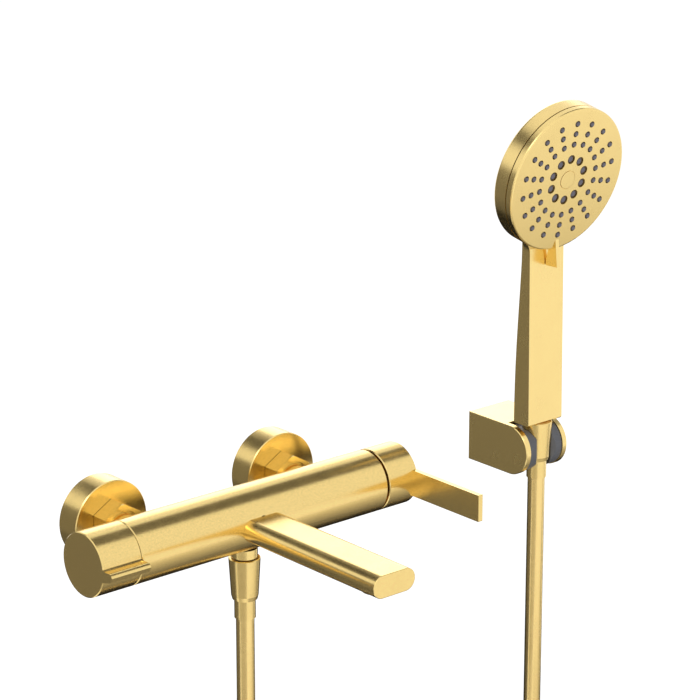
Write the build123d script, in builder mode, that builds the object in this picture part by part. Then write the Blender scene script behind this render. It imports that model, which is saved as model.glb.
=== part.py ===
"""Wall-mounted bath shower mixer with a hose, a wall bracket and a hand shower, in millimetres.

The origin is on the wall, midway between the two inlets. X runs to the right along the wall,
Y runs into the wall and Z points up. Each piece is one labelled solid, or one group of like
solids, and is written to its own STEP file.
"""

from build123d import *
import math
import os

os.makedirs("parts", exist_ok=True)

# Sizes shared by several pieces
overrun = 1.0
slip = 0.1
seat_gap = 0.05
air_gap = 0.3
edge_break = 0.6

# Mixer body: a round casting on two wall inlets
inlet_spacing = 150.0
wall_to_axis = 70.0
body_r = 22.5
body_left_past = 28.5
body_right_past = 37.0
neck_r = 10.5
neck_bore_r = 7.0
neck_end_out = 26.5
neck_collar_r = 12.4
neck_collar_thick = 2.6
channel_r = 4.0
hot_channel_up = 11.0
cold_channel_out = 12.0
mixed_channel_front = 8.0
mixed_channel_down = 6.0
spout_channel_front = 9.0
spout_channel_up = 6.0
outlet_channel_down = 14.0
channel_end = 4.0

# Cartridge chamber in the right end of the body
cartridge_bore_r = 18.0
cartridge_left_past = 9.0
cartridge_r = 17.7
base_thick = 6.0
fixed_disc_thick = 3.0
moving_disc_thick = 3.0
fixed_disc_r = 13.6
moving_disc_r = 12.6
port_r = 3.2
port_ring_r = 7.5
housing_wall = 3.2
housing_end_past = 29.0
housing_lip = 2.0
carrier_neck_r = 8.5
carrier_end_past = 35.0
cartridge_nut_collar_r = 16.0
cartridge_nut_proud = 1.5
stem_side = 8.0
stem_pivot_past = 25.0
stem_start_past = 22.2
stem_pin_r = 1.5
stem_pin_half = 7.5

# Lever: a hub in line with the body, and a flat blade that points out from the wall
lever_gap = 2.0
lever_end_past = 65.0
lever_wall = 2.6
lever_boss_r = 8.0
lever_boss_past = 43.0
lever_hollow_past = 55.0
blade_thick = 4.0
blade_high = 19.5
blade_below = 1.8
blade_long = 90.0
blade_edge = 0.5
lever_tilt_limit = 12.0
grub_r = 2.5
grub_long = 9.0
key_r = 1.25
key_deep = 2.0

# Diverter in the left end of the body, and its knob
knob_gap = 0.3
knob_long = 32.0
diverter_bore_r = 14.0
diverter_right_past = 10.5
diverter_r = 13.7
diverter_disc_thick = 2.5
diverter_disc_r = 11.0
diverter_wall = 2.2
diverter_housing_past = 24.0
spindle_r = 4.0
spindle_left_past = 47.0
diverter_nut_r = 9.0
diverter_nut_past = 32.0
knob_hollow_r = 12.0
knob_hollow_deep = 6.0
knob_grub_r = 2.0
knob_grub_past = 42.0
fin_root_up = 3.1
fin_crease_out = 2.6
fin_crease_up = 2.1
fin_bulge_out = 5.4
fin_bulge_up = 2.3
fin_tip_out = 9.0
fin_tip_up = 1.0
fin_nose_out = 9.6
fin_nose_down = 0.2
fin_low_out = 7.6
fin_low_down = 3.9
fin_root_down = 6.2

# Wall unions, flanges and hexagon union nuts
stud_r = 10.4775
stud_into_wall = 15.0
stud_end_out = 4.0
union_body_r = 14.0
union_body_end_out = 19.0
union_thread_r = 12.64
union_end_out = 24.5
union_bore_r = 8.0
flange_r = 30.0
flange_deep = 19.0
flange_wall = 1.6
flange_face = 2.0
nut_across_flats = 30.0
nut_front_out = 32.5
nut_back_out = 19.3
nut_recess_r = 12.6
nut_recess_deep = 1.4
nut_lip = 1.6
nut_bevel = 0.9
gasket_bore_r = 7.5
valve_long = 10.0
valve_slot_r = 4.4

# Bath spout with its aerator
spout_wide = 36.0
spout_thick = 16.0
spout_below = 1.0
spout_reach = 156.0
spout_spigot_r = 8.0
spout_spigot_deep = 6.0
spout_way_wide = 24.0
spout_way_high = 9.0
spout_tip_wall = 4.0
spout_edge = 0.6
aerator_r = 12.0
aerator_from_tip = 16.0
aerator_proud = 1.0
aerator_deep = 5.0
aerator_ring = 1.8
aerator_hole_r = 0.9
aerator_ring_step = 2.8
aerator_rings = 3

# Shower outlet under the body, and the fittings at both ends of the hose
outlet_neck_r = 9.3
outlet_neck_long = 6.5
thread_r = 9.9
thread_long = 9.5
outlet_bore_r = 6.0
washer_thick = 2.0
washer_bore_r = 4.5
hose_nut_top_r = 11.2
hose_nut_low_r = 9.6
hose_nut_tip_r = 8.8
hose_nut_cone = 27.5
hose_nut_tip = 3.0
hose_nut_top_edge = 0.5
hose_nut_shoulder = 4.0
ferrule_r = 7.5
ferrule_below = 14.0
ferrule_collar = 2.0
ferrule_bore_r = 3.5

# Hose: a smooth tube that hangs from the outlet in a loop up to the hand shower
hose_r = 6.5
hose_bore_r = 4.0
hose_overall = 1250.0
hose_top_long = 100.0
hose_mid_long = 150.0
hose_run_share = 0.45

# Wall bracket
bracket_left = 275.0
bracket_wide = 42.0
bracket_top = -2.4
bracket_high = 38.0
bracket_nose_out = 45.0
cheek = 4.5
bracket_mouth_out = 38.4
bracket_edge = 0.5
pocket_deep = 16.0
pocket_wall = 5.0
plate_thick = 12.0
screw_spacing = 18.0
screw_r = 2.0
screw_head_r = 3.8
screw_head_high = 2.4
bracket_grub_r = 2.0
bracket_grub_out = 7.0

# Swivelling insert between the cheeks
insert_r = 18.3
insert_slot_gap = 0.5
insert_top_cut = 15.6
pin_r = 3.0
pin_running = 0.06
pin_in_cheek = 2.5
pin_in_insert = 4.0
throat_half = 7.5
mouth_half = 10.0
throat_from_nose = 3.0

# Hand shower: connector, flat handle and head
handset_out = 53.0
handle_wide = 34.5
handle_bottom = 0.0
handle_rise = 143.0
handle_front_out = 61.3
handle_front_back_lean = 2.0
handle_bottom_deep = 15.8
handle_top_deep = 8.2
handle_edge = 0.9
handle_neck = 0.4
connector_r = 5.5
connector_rise = 14.0
connector_bore_r = 3.5
waterway_r = 2.8
waterway_past = 6.0
water_tube_short = 4.0
waterway_lean = 2.0
water_tube_wall = 0.8
head_foot_out = 65.895
head_lap = 7.23
head_tilt = 11.5
head_r = 55.5
plate_front = 2.5
plate_back = 3.4
plate_edge = 1.5
seam_gap = 0.4
seam_chamfer = 0.5
shell_deep = 13.0
shell_edge = 2.6
shell_fillet = 11.0
web_deep = 6.2
web_back = 2.6
shell_rim_wall = 6.5
shell_cavity_deep = 9.4
plate_wall = 2.3
plate_skirt = 3.2
core_post_r = 6.0
core_thick = 5.4
core_step = 1.4
core_hub_r = 9.0
mat_thick = 1.6
mat_plate_thick = 1.8
nozzle_proud = 0.9
nozzle_foot_r = 1.95
nozzle_tip_r = 1.5
nozzle_hole_r = 2.4
nozzle_ring_shares = (0.791, 0.6486, 0.5009)
nozzle_count = 18
nozzle_first = 9.5
jet_foot_r = 2.5
jet_tip_r = 2.1
jet_hole_r = 3.5
jet_below = 0.7
jet_ring_share = 0.2892
jet_count = 10
jet_first = 17.5
cap_r = 6.9
cap_gap = 0.35
cap_thick = 1.0
cap_proud = 0.3
pivot_r = 2.0
pivot_head_r = 4.0
pivot_head_high = 1.0
pivot_deep = 7.0
tab_thick = 3.2
tab_gap = 0.9
tab_start_in = 8.6
tab_tip_past = 12.3
tab_tip_out = 8.6
tab_rise_out = 2.2
tab_low_drop = 20.4

# Places worked out from the sizes above
half_spacing = inlet_spacing / 2
body_right = half_spacing + body_right_past
cartridge_left = half_spacing + cartridge_left_past
carrier_end = half_spacing + carrier_end_past
stem_pivot_x = half_spacing + stem_pivot_past
stem_start = half_spacing + stem_start_past
lever_end = half_spacing + lever_end_past
lever_boss_left = half_spacing + lever_boss_past
lever_hollow_end = half_spacing + lever_hollow_past
housing_end = half_spacing + housing_end_past
spindle_left = -half_spacing - spindle_left_past
body_left = -half_spacing - body_left_past
diverter_right = -half_spacing - diverter_right_past
diverter_housing_left = -half_spacing - diverter_housing_past
diverter_nut_left = -half_spacing - diverter_nut_past
knob_grub_x = -half_spacing - knob_grub_past
knob_right = body_left - knob_gap
knob_left = knob_right - knob_long
lever_start = body_right + lever_gap
spout_front = wall_to_axis + spout_reach
head_up = handle_rise + head_r - head_lap
head_out = head_foot_out + head_r * math.sin(math.radians(head_tilt))
waterway_top = handle_rise + waterway_past
water_tube_top = waterway_top - water_tube_short
tab_low_up = handle_rise - tab_low_drop
tab_start_r = head_r - tab_start_in
tab_tip_r = head_r + tab_tip_past
shell_cavity_r = head_r - shell_rim_wall
nozzle_ring_radii = [head_r * share for share in nozzle_ring_shares]
jet_ring_r = head_r * jet_ring_share
hose_nut_long = hose_nut_cone + hose_nut_tip
mixer_nut_top = -body_r - outlet_neck_long
bracket_right = bracket_left + bracket_wide
handset_x = bracket_left + bracket_wide / 2
handset_nut_top = handle_bottom - handle_neck
hose_end_drop = hose_nut_long + ferrule_below
hose_start_z = mixer_nut_top - hose_end_drop
hose_top_z = handset_nut_top - hose_end_drop
hose_join_z = hose_top_z - hose_top_long
hose_split_z = hose_join_z - hose_mid_long
nose_z = bracket_top - bracket_high / 2
SEATED = (Align.CENTER, Align.CENTER, Align.MIN)
HEAD_NORMAL = (0, -math.cos(math.radians(head_tilt)), -math.sin(math.radians(head_tilt)))


def across_body(x):
    """Plane square to the body's axis; its normal points right, its x into the wall."""
    return Plane(origin=(x, -wall_to_axis, 0), x_dir=(0, 1, 0), z_dir=(1, 0, 0))


def leftwards(x):
    """The same plane with its normal pointing left."""
    return Plane(origin=(x, -wall_to_axis, 0), x_dir=(0, -1, 0), z_dir=(-1, 0, 0))


def out_from_wall(x, out, up=0):
    """Plane parallel to the wall, this far out from it; its normal points into the room."""
    return Plane(origin=(x, -out, up), x_dir=(1, 0, 0), z_dir=(0, -1, 0))


def downwards(x, out, up):
    """Level plane under a point; its normal points down."""
    return Plane(origin=(x, -out, up), x_dir=(1, 0, 0), z_dir=(0, 0, -1))


def head_plane(front):
    """Plane parallel to the spray face, this far in front of the head's rim."""
    origin = Vector(handset_x, -head_out, head_up) + Vector(*HEAD_NORMAL) * front
    return Plane(origin=origin, x_dir=(1, 0, 0), z_dir=HEAD_NORMAL)


def disc(plane, radius, thick, mode=Mode.ADD):
    """A round disc or bar that stands on a plane."""
    with Locations(plane):
        Cylinder(radius, thick, align=SEATED, mode=mode)


def bore(plane, radius, deep):
    """A round hole from a plane along its normal."""
    disc(plane, radius, deep, Mode.SUBTRACT)


def taper(plane, first_r, last_r, thick, mode=Mode.ADD):
    """A round cone stump that stands on a plane."""
    with Locations(plane):
        Cone(first_r, last_r, thick, align=SEATED, mode=mode)


def save(piece, name):
    """Label a finished piece and write its STEP file."""
    piece.part.label = name
    export_step(piece.part, f"parts/{name}.step")


# Body casting
with BuildPart() as body_casting:
    disc(across_body(body_left), body_r, body_right - body_left)
    chamfer(body_casting.edges().filter_by(GeomType.CIRCLE), edge_break)
    for side_x in (-half_spacing, half_spacing):
        disc(out_from_wall(side_x, neck_end_out), neck_r, wall_to_axis - neck_end_out)
        disc(out_from_wall(side_x, neck_end_out), neck_collar_r, neck_collar_thick)
    disc(downwards(0, wall_to_axis, -body_r + edge_break), outlet_neck_r, outlet_neck_long - seat_gap)
    bore(across_body(cartridge_left), cartridge_bore_r, body_right - cartridge_left + overrun)
    bore(leftwards(diverter_right), diverter_bore_r, diverter_right - body_left + overrun)
    # Hot water: in at the left neck, along the top to the cartridge
    bore(out_from_wall(-half_spacing, neck_end_out - overrun), neck_bore_r, wall_to_axis - neck_end_out)
    hot_start = across_body(-half_spacing - channel_end)
    bore(hot_start.offset(0).shift_origin(hot_start.from_local_coords((0, hot_channel_up, 0))),
         channel_r, half_spacing + channel_end + cartridge_left + overrun)
    # Cold water: in at the right neck, along the back to the cartridge
    bore(out_from_wall(half_spacing, neck_end_out - overrun), neck_bore_r,
         wall_to_axis - cold_channel_out - neck_end_out + overrun)
    cold_start = across_body(half_spacing)
    bore(cold_start.shift_origin(cold_start.from_local_coords((cold_channel_out, 0, 0))),
         channel_r, cartridge_left - half_spacing + overrun)
    # Mixed water: from the cartridge back to the diverter
    mixed_start = across_body(diverter_right - overrun)
    bore(mixed_start.shift_origin(
        mixed_start.from_local_coords((-mixed_channel_front, -mixed_channel_down, 0))),
        channel_r, cartridge_left - diverter_right + overrun + overrun)
    # From the diverter to the spout and to the shower outlet
    bore(mixed_start.shift_origin(
        mixed_start.from_local_coords((-spout_channel_front, spout_channel_up, 0))),
        channel_r, overrun + channel_end - diverter_right)
    bore(mixed_start.shift_origin(
        mixed_start.from_local_coords((0, -outlet_channel_down, 0))),
        channel_r, overrun + channel_end - diverter_right)
    bore(out_from_wall(0, wall_to_axis + body_r - spout_spigot_deep, -spout_below),
         spout_spigot_r + slip, spout_spigot_deep + overrun)
    bore(out_from_wall(0, wall_to_axis + spout_channel_front, spout_channel_up - channel_r / 2),
         channel_r - edge_break, body_r - spout_channel_front)
    bore(downwards(0, wall_to_axis, -outlet_channel_down), outlet_bore_r, body_r + outlet_neck_long)
save(body_casting, "body_casting")

# Shower outlet nipple, screwed up into the body's outlet neck
nipple_up = -body_r - outlet_neck_long
with BuildPart() as outlet_nipple:
    disc(downwards(0, wall_to_axis, nipple_up), thread_r, thread_long)
    disc(downwards(0, wall_to_axis, nipple_up + outlet_neck_long), outlet_bore_r - seat_gap, outlet_neck_long)
    bore(downwards(0, wall_to_axis, nipple_up + outlet_neck_long + overrun), washer_bore_r,
         outlet_neck_long + thread_long + overrun + overrun)
save(outlet_nipple, "outlet_nipple")

with BuildPart() as outlet_check_valve:
    disc(downwards(0, wall_to_axis, nipple_up + outlet_neck_long), washer_bore_r - seat_gap, valve_long)
    bore(downwards(0, wall_to_axis, nipple_up + outlet_neck_long - edge_break), washer_bore_r / 2, valve_long)
save(outlet_check_valve, "outlet_check_valve")

# Wall connection of each inlet: union, gasket, non-return valve, union nut and flange
for side, side_x in (("left", -half_spacing), ("right", half_spacing)):
    with BuildPart() as wall_union:
        disc(out_from_wall(side_x, -stud_into_wall), stud_r, stud_into_wall + stud_end_out)
        disc(out_from_wall(side_x, stud_end_out), union_body_r, union_body_end_out - stud_end_out)
        disc(out_from_wall(side_x, union_body_end_out), union_thread_r, union_end_out - union_body_end_out)
        bore(out_from_wall(side_x, -stud_into_wall - overrun), union_bore_r,
             stud_into_wall + union_end_out + overrun + overrun)
    save(wall_union, f"wall_union_{side}")

    with BuildPart() as union_gasket:
        disc(out_from_wall(side_x, union_end_out), neck_collar_r, neck_end_out - union_end_out)
        bore(out_from_wall(side_x, union_end_out - overrun), gasket_bore_r,
             neck_end_out - union_end_out + overrun + overrun)
    save(union_gasket, f"union_gasket_{side}")

    with BuildPart() as inlet_check_valve:
        disc(out_from_wall(side_x, neck_end_out), neck_bore_r - seat_gap, valve_long)
        bore(out_from_wall(side_x, neck_end_out + edge_break), valve_slot_r, valve_long)
    save(inlet_check_valve, f"inlet_check_valve_{side}")

    with BuildPart() as union_nut:
        with BuildSketch(out_from_wall(side_x, nut_back_out)):
            RegularPolygon(nut_across_flats / 2, 6, major_radius=False, rotation=30)
        extrude(amount=nut_front_out - nut_back_out)
        nut_corner_r = nut_across_flats / math.sqrt(3)
        with BuildSketch(Plane(origin=(side_x, 0, 0), x_dir=(1, 0, 0), z_dir=(0, 0, 1))):
            Polygon(
                (nut_corner_r - nut_bevel, -nut_front_out),
                (nut_corner_r + overrun, -nut_front_out),
                (nut_corner_r + overrun, -nut_front_out + (nut_bevel + overrun) / math.sqrt(3)),
                align=None,
            )
        revolve(axis=Axis((side_x, 0, 0), (0, 1, 0)), mode=Mode.SUBTRACT)
        bore(out_from_wall(side_x, nut_front_out - nut_recess_deep), nut_recess_r, nut_recess_deep + overrun)
        bore(out_from_wall(side_x, nut_back_out - overrun), union_thread_r + slip,
             nut_front_out - nut_recess_deep - nut_lip - nut_back_out + overrun)
        bore(out_from_wall(side_x, nut_back_out), neck_r + slip, nut_front_out - nut_back_out + overrun)
    save(union_nut, f"union_nut_{side}")

    with BuildPart() as wall_flange:
        disc(out_from_wall(side_x, 0), flange_r, flange_deep)
        chamfer(wall_flange.edges().sort_by(Axis.Y)[0], edge_break)
        bore(out_from_wall(side_x, -overrun), flange_r - flange_wall, flange_deep - flange_face + overrun)
        bore(out_from_wall(side_x, 0), union_body_r + slip, flange_deep + overrun)
    save(wall_flange, f"wall_flange_{side}")

# Bath spout: a flat bar with half-round sides, on a round spigot in the body
with BuildPart() as spout:
    with BuildSketch(out_from_wall(0, wall_to_axis, -spout_below)):
        SlotOverall(spout_wide, spout_thick)
    extrude(amount=spout_reach)
    fillet(spout.faces().sort_by(Axis.Y)[0].edges(), spout_edge)
    disc(across_body(-spout_wide), body_r + seat_gap, spout_wide + spout_wide, Mode.SUBTRACT)
    disc(out_from_wall(0, wall_to_axis + body_r - spout_spigot_deep, -spout_below),
         spout_spigot_r, spout_spigot_deep + overrun)
    way_start = wall_to_axis + body_r + overrun
    with BuildSketch(out_from_wall(0, way_start, -spout_below)):
        Rectangle(spout_way_wide, spout_way_high)
    extrude(amount=spout_front - spout_tip_wall - way_start, mode=Mode.SUBTRACT)
    bore(out_from_wall(0, wall_to_axis, -spout_below), channel_r, body_r + overrun + overrun)
    spout_low = -spout_below - spout_thick / 2
    aerator_out = spout_front - aerator_from_tip
    bore(downwards(0, aerator_out, spout_low + aerator_deep), aerator_r + seat_gap, aerator_deep + overrun)
save(spout, "spout")

with BuildPart() as aerator_housing:
    disc(downwards(0, aerator_out, spout_low + aerator_deep), aerator_r, aerator_deep + aerator_proud)
    chamfer(aerator_housing.edges().sort_by(Axis.Z)[0], edge_break)
    bore(downwards(0, aerator_out, spout_low + aerator_deep + overrun), aerator_r - aerator_ring,
         aerator_deep + aerator_proud + overrun + overrun)
save(aerator_housing, "aerator_housing")

with BuildPart() as aerator_insert:
    insert_plane = downwards(0, aerator_out, spout_low + aerator_deep)
    disc(insert_plane, aerator_r - aerator_ring - seat_gap, aerator_deep)
    for ring in range(1, aerator_rings + 1):
        with Locations(insert_plane):
            with PolarLocations(ring * aerator_ring_step, ring * 6):
                Cylinder(aerator_hole_r, aerator_deep, align=SEATED, mode=Mode.SUBTRACT)
save(aerator_insert, "aerator_insert")

# Single lever cartridge in the right end of the body
with BuildPart() as cartridge_base:
    disc(across_body(cartridge_left), cartridge_r - housing_wall, base_thick)
    with Locations(across_body(cartridge_left)):
        with PolarLocations(port_ring_r, 3, start_angle=90):
            Cylinder(port_r, base_thick, align=SEATED, mode=Mode.SUBTRACT)
save(cartridge_base, "cartridge_base")

with BuildPart() as ceramic_disc_fixed:
    disc(across_body(cartridge_left + base_thick), fixed_disc_r, fixed_disc_thick)
    with Locations(across_body(cartridge_left + base_thick)):
        with PolarLocations(port_ring_r, 3, start_angle=90):
            Cylinder(port_r, fixed_disc_thick, align=SEATED, mode=Mode.SUBTRACT)
save(ceramic_disc_fixed, "ceramic_disc_fixed")

moving_disc_left = cartridge_left + base_thick + fixed_disc_thick
carrier_left = moving_disc_left + moving_disc_thick
with BuildPart() as ceramic_disc_moving:
    disc(across_body(moving_disc_left), moving_disc_r, moving_disc_thick)
    bore(across_body(moving_disc_left), port_ring_r, moving_disc_thick / 2)
save(ceramic_disc_moving, "ceramic_disc_moving")

# The stem tips inside the carrier's slot, so the slot is wider than the stem by its swing
stem_swing = (carrier_end - stem_pivot_x) * math.tan(math.radians(lever_tilt_limit)) + air_gap
with BuildPart() as cartridge_carrier:
    disc(across_body(carrier_left), cartridge_r - housing_wall - air_gap,
         housing_end - housing_lip - carrier_left - slip)
    disc(across_body(carrier_left), carrier_neck_r, carrier_end - carrier_left)
    with BuildSketch(across_body(carrier_left)):
        Rectangle(stem_side + stem_swing + stem_swing, stem_side + slip + slip)
    extrude(amount=carrier_end - carrier_left, mode=Mode.SUBTRACT)
    pin_start = downwards(stem_pivot_x, wall_to_axis, stem_pin_half)
    bore(pin_start, stem_pin_r + seat_gap, stem_pin_half + stem_pin_half)
save(cartridge_carrier, "cartridge_carrier")

with BuildPart() as stem_pin:
    disc(pin_start, stem_pin_r, stem_pin_half + stem_pin_half)
save(stem_pin, "stem_pin")

with BuildPart() as cartridge_housing:
    disc(across_body(cartridge_left), cartridge_r, housing_end - cartridge_left)
    bore(across_body(cartridge_left - overrun), cartridge_r - housing_wall + seat_gap,
         housing_end - housing_lip - cartridge_left + overrun)
    bore(across_body(cartridge_left), carrier_neck_r + air_gap, housing_end - cartridge_left + overrun)
save(cartridge_housing, "cartridge_housing")

with BuildPart() as cartridge_nut:
    disc(across_body(housing_end), cartridge_bore_r - seat_gap, body_right - edge_break - housing_end)
    disc(across_body(housing_end), cartridge_nut_collar_r, body_right + cartridge_nut_proud - housing_end)
    bore(across_body(housing_end - overrun), carrier_neck_r + air_gap,
         body_right + cartridge_nut_proud - housing_end + overrun + overrun)
save(cartridge_nut, "cartridge_nut")

with BuildPart() as lever_stem:
    with BuildSketch(across_body(stem_start)):
        Rectangle(stem_side, stem_side)
    extrude(amount=lever_hollow_end - stem_start)
    bore(pin_start, stem_pin_r + seat_gap, stem_pin_half + stem_pin_half)
save(lever_stem, "lever_stem")

# Lever: the rim next to the body is cut back on the wall side, so that it clears the body as it tips
tilt = math.radians(lever_tilt_limit)
rim_reach = lever_start - stem_pivot_x
rim_clear = body_right + air_gap - stem_pivot_x
relief_start = (rim_reach * math.cos(tilt) - rim_clear) / math.sin(tilt)
relief_depth = (rim_clear + body_r * math.sin(tilt)) / math.cos(tilt) - rim_reach
with BuildPart() as lever_handle:
    disc(across_body(lever_start), body_r, lever_end - lever_start)
    chamfer(lever_handle.edges().filter_by(GeomType.CIRCLE), edge_break)
    with BuildSketch(Plane(origin=(0, 0, -blade_below - blade_high / 2))):
        with Locations((lever_end - blade_thick, -wall_to_axis - blade_long)):
            Rectangle(blade_thick, blade_long, align=(Align.MIN, Align.MIN))
    extrude(amount=blade_high)
    fillet(lever_handle.faces().sort_by(Axis.Y)[0].edges(), blade_edge)
    bore(across_body(lever_start - overrun), body_r - lever_wall, lever_hollow_end - lever_start + overrun)
    disc(across_body(lever_boss_left), lever_boss_r, lever_end - lever_boss_left - edge_break)
    with BuildSketch(across_body(lever_boss_left)):
        Rectangle(stem_side + slip, stem_side + slip)
    extrude(amount=lever_hollow_end - lever_boss_left, mode=Mode.SUBTRACT)
    with BuildSketch(Plane(origin=(0, 0, -body_r - overrun))):
        Polygon(
            (lever_start - overrun, -wall_to_axis + relief_start),
            (lever_start, -wall_to_axis + relief_start),
            (lever_start + relief_depth, -wall_to_axis + body_r),
            (lever_start + relief_depth, -wall_to_axis + body_r + overrun),
            (lever_start - overrun, -wall_to_axis + body_r + overrun),
            align=None,
        )
    extrude(amount=body_r + body_r + overrun + overrun, mode=Mode.SUBTRACT)
    lever_grub_x = (lever_boss_left + lever_hollow_end) / 2
    bore(downwards(lever_grub_x, wall_to_axis, -stem_side / 2), grub_r + slip, body_r)
save(lever_handle, "lever_handle")

with BuildPart() as lever_grub_screw:
    disc(downwards(lever_grub_x, wall_to_axis, -stem_side / 2 - slip), grub_r, grub_long)
    with BuildSketch(downwards(lever_grub_x, wall_to_axis, -stem_side / 2 - slip - grub_long + key_deep)):
        RegularPolygon(key_r, 6)
    extrude(amount=key_deep, mode=Mode.SUBTRACT)
save(lever_grub_screw, "lever_grub_screw")

# Diverter in the left end of the body
with BuildPart() as diverter_disc_fixed:
    disc(leftwards(diverter_right), diverter_disc_r, diverter_disc_thick)
    with Locations(leftwards(diverter_right)):
        with PolarLocations(port_ring_r, 3, start_angle=90):
            Cylinder(port_r, diverter_disc_thick, align=SEATED, mode=Mode.SUBTRACT)
save(diverter_disc_fixed, "diverter_disc_fixed")

diverter_moving_right = diverter_right - diverter_disc_thick
with BuildPart() as diverter_disc_moving:
    disc(leftwards(diverter_moving_right), diverter_disc_r, diverter_disc_thick)
    with BuildSketch(leftwards(diverter_moving_right)):
        with Locations((0, port_ring_r)):
            Rectangle(diverter_disc_r + diverter_disc_r, port_r)
    extrude(amount=diverter_disc_thick / 2, mode=Mode.SUBTRACT)
save(diverter_disc_moving, "diverter_disc_moving")

spindle_right = diverter_moving_right - diverter_disc_thick
with BuildPart() as diverter_spindle:
    disc(leftwards(spindle_right), diverter_disc_r - diverter_wall, diverter_disc_thick)
    disc(leftwards(spindle_right), spindle_r, spindle_right - spindle_left)
save(diverter_spindle, "diverter_spindle")

with BuildPart() as diverter_housing:
    disc(leftwards(diverter_right), diverter_r, diverter_right - diverter_housing_left)
    bore(leftwards(diverter_right + overrun), diverter_disc_r + slip,
         overrun + 3 * diverter_disc_thick + slip)
    bore(leftwards(diverter_right), spindle_r + slip, diverter_right - diverter_housing_left + overrun)
save(diverter_housing, "diverter_housing")

with BuildPart() as diverter_nut:
    disc(leftwards(diverter_housing_left), diverter_bore_r - seat_gap,
         diverter_housing_left - body_left - edge_break)
    with BuildSketch(leftwards(diverter_housing_left)):
        RegularPolygon(diverter_nut_r, 6)
    extrude(amount=diverter_housing_left - diverter_nut_left)
    bore(leftwards(diverter_housing_left + overrun), spindle_r + air_gap,
         diverter_housing_left - diverter_nut_left + overrun + overrun)
save(diverter_nut, "diverter_nut")

# Diverter knob, with a fin along its front to turn it by
fin_root_out = math.sqrt(body_r ** 2 - fin_root_up ** 2)
fin_low_root_out = math.sqrt(body_r ** 2 - fin_root_down ** 2)
with BuildPart() as diverter_knob:
    disc(leftwards(knob_right), body_r, knob_long)
    chamfer(diverter_knob.edges().filter_by(GeomType.CIRCLE), edge_break)
    with BuildSketch(leftwards(knob_right)):
        with BuildLine():
            crease = Spline(
                (fin_root_out, fin_root_up),
                (body_r + fin_crease_out, fin_crease_up),
                (body_r + fin_bulge_out, fin_bulge_up),
                (body_r + fin_tip_out, fin_tip_up),
            )
            nose = Polyline(
                crease @ 1,
                (body_r + fin_nose_out, -fin_nose_down),
                (body_r + fin_low_out, -fin_low_down),
                (fin_low_root_out, -fin_root_down),
                (0, -fin_root_down),
                (0, fin_root_up),
                crease @ 0,
            )
        make_face()
    extrude(amount=knob_long)
    bore(leftwards(knob_right + overrun), knob_hollow_r, knob_hollow_deep + overrun)
    bore(leftwards(knob_right), spindle_r + seat_gap, knob_right - spindle_left + edge_break)
    bore(downwards(knob_grub_x, wall_to_axis, -spindle_r), knob_grub_r + slip, body_r)
save(diverter_knob, "diverter_knob")

with BuildPart() as knob_grub_screw:
    disc(downwards(knob_grub_x, wall_to_axis, -spindle_r - slip), knob_grub_r, grub_long)
    with BuildSketch(downwards(knob_grub_x, wall_to_axis, -spindle_r - slip - grub_long + key_deep)):
        RegularPolygon(key_r, 6)
    extrude(amount=key_deep, mode=Mode.SUBTRACT)
save(knob_grub_screw, "knob_grub_screw")

# Washer, conical nut and ferrule at each end of the hose
for end, end_x, end_out, nut_top in (
    ("mixer", 0, wall_to_axis, mixer_nut_top),
    ("handset", handset_x, handset_out, handset_nut_top),
):
    washer_top = nut_top - thread_long
    collar_top = washer_top - washer_thick
    collar_low = collar_top - ferrule_collar
    ferrule_low = nut_top - hose_end_drop
    with BuildPart() as hose_washer:
        disc(downwards(end_x, end_out, washer_top), thread_r - slip, washer_thick)
        bore(downwards(end_x, end_out, washer_top + overrun), washer_bore_r, washer_thick + overrun + overrun)
    save(hose_washer, f"hose_washer_{end}")

    with BuildPart() as hose_ferrule:
        disc(downwards(end_x, end_out, collar_top), ferrule_r, collar_top - ferrule_low)
        disc(downwards(end_x, end_out, collar_top), thread_r - slip, ferrule_collar)
        bore(downwards(end_x, end_out, collar_top + overrun), ferrule_bore_r,
             collar_top - ferrule_low + overrun + overrun)
    save(hose_ferrule, f"hose_ferrule_{end}")

    with BuildPart() as hose_nut:
        taper(downwards(end_x, end_out, nut_top), hose_nut_top_r, hose_nut_low_r, hose_nut_cone)
        taper(downwards(end_x, end_out, nut_top - hose_nut_cone), hose_nut_low_r, hose_nut_tip_r, hose_nut_tip)
        chamfer(hose_nut.edges().sort_by(Axis.Z)[-1], hose_nut_top_edge)
        bore(downwards(end_x, end_out, nut_top + overrun), thread_r + seat_gap,
             nut_top - collar_low + overrun)
        bore(downwards(end_x, end_out, nut_top), ferrule_r + seat_gap, hose_nut_long + overrun)
    save(hose_nut, f"hose_nut_{end}")

# Hose: down from the mixer, round the bottom of the loop and straight up to the hand shower
hose_route = [
    (0, -wall_to_axis, hose_start_z),
    (0, -wall_to_axis, -193),
    (-1.5, -69.8, -318),
    (0.5, -69.5, -447),
    (40, -67.6, -516),
    (108, -63.8, -555.4),
    (188, -59.2, -555.4),
    (256, -55.4, -516),
    (295.5, -53.4, -447),
    (handset_x, -handset_out, -372),
    (handset_x, -handset_out, hose_split_z),
]
hose_points = [Vector(*point) for point in hose_route]
hose_runs = [b - a for a, b in zip(hose_points, hose_points[1:])]
hose_radii = [
    hose_run_share * min(before.length, after.length)
    / math.tan(math.radians(before.get_angle(after)) / 2)
    for before, after in zip(hose_runs, hose_runs[1:])
]
with BuildPart() as hose:
    with BuildLine() as hose_line:
        FilletPolyline(*hose_points, radius=hose_radii)
    with BuildSketch(downwards(0, wall_to_axis, hose_start_z)):
        Circle(hose_r)
        Circle(hose_bore_r, mode=Mode.SUBTRACT)
    sweep(path=hose_line.wires()[0])
save(hose, "hose")
hose_long = hose_line.wires()[0].length
hose_section = math.pi * (hose_r ** 2 - hose_bore_r ** 2)
print("hose runs", [round(run.length, 1) for run in hose_runs])
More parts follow.
